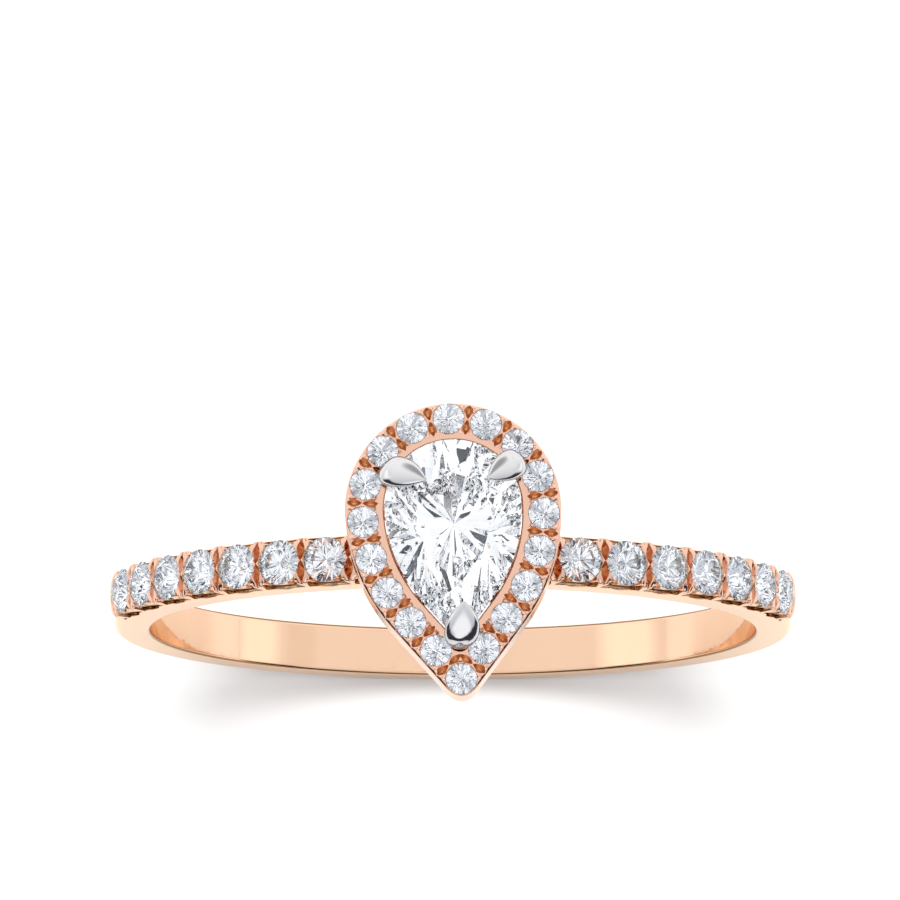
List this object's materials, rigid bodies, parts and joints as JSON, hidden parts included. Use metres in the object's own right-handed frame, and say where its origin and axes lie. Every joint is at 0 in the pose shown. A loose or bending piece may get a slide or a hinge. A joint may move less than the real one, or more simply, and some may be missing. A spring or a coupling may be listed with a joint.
{
  "type": "engagement ring",
  "caption": "Finger ring with a claw-set pear stone inside a halo of small stones, on a narrow band set with small stones along each shoulder.",
  "frame": {"origin": "centre of the finger hole", "axes": "+Y along the finger, with the pear's point towards -Y; +Z from the finger up through the head; +X to the wearer's side"},
  "size_m": [0.0196, 0.0081, 0.0227],
  "materials": {
    "rose_gold": "polished 14 ct rose gold",
    "white_gold": "polished, rhodium-plated white gold",
    "centre_diamond": "pear brilliant cut",
    "small_diamond": "round brilliant cut"
  },
  "bodies": {
    "root": {"band": "rose_gold", "halo": "rose_gold", "gallery_rail": "rose_gold", "head_base": "white_gold", "seat_rail": "white_gold", "claw_right": "white_gold", "claw_left": "white_gold", "claw_tip": "white_gold", "centre_stone": "centre_diamond", "halo_post_1": "rose_gold", "halo_post_2": "rose_gold", "halo_post_3": "rose_gold", "halo_post_4": "rose_gold", "halo_post_5": "rose_gold", "halo_stone_01": "small_diamond", "halo_stone_02": "small_diamond", "halo_stone_03": "small_diamond", "halo_stone_04": "small_diamond", "halo_stone_05": "small_diamond", "halo_stone_06": "small_diamond", "halo_stone_07": "small_diamond", "halo_stone_08": "small_diamond", "halo_stone_09": "small_diamond", "halo_stone_10": "small_diamond", "halo_stone_11": "small_diamond", "halo_stone_12": "small_diamond", "halo_stone_13": "small_diamond", "halo_stone_14": "small_diamond", "halo_stone_15": "small_diamond", "halo_stone_16": "small_diamond", "halo_stone_17": "small_diamond", "halo_stone_18": "small_diamond", "side_stone_left_1": "small_diamond", "side_stone_left_2": "small_diamond", "side_stone_left_3": "small_diamond", "side_stone_left_4": "small_diamond", "side_stone_left_5": "small_diamond", "side_stone_left_6": "small_diamond", "side_stone_left_7": "small_diamond", "side_stone_right_1": "small_diamond", "side_stone_right_2": "small_diamond", "side_stone_right_3": "small_diamond", "side_stone_right_4": "small_diamond", "side_stone_right_5": "small_diamond", "side_stone_right_6": "small_diamond", "side_stone_right_7": "small_diamond"}
  },
  "joints": []
}
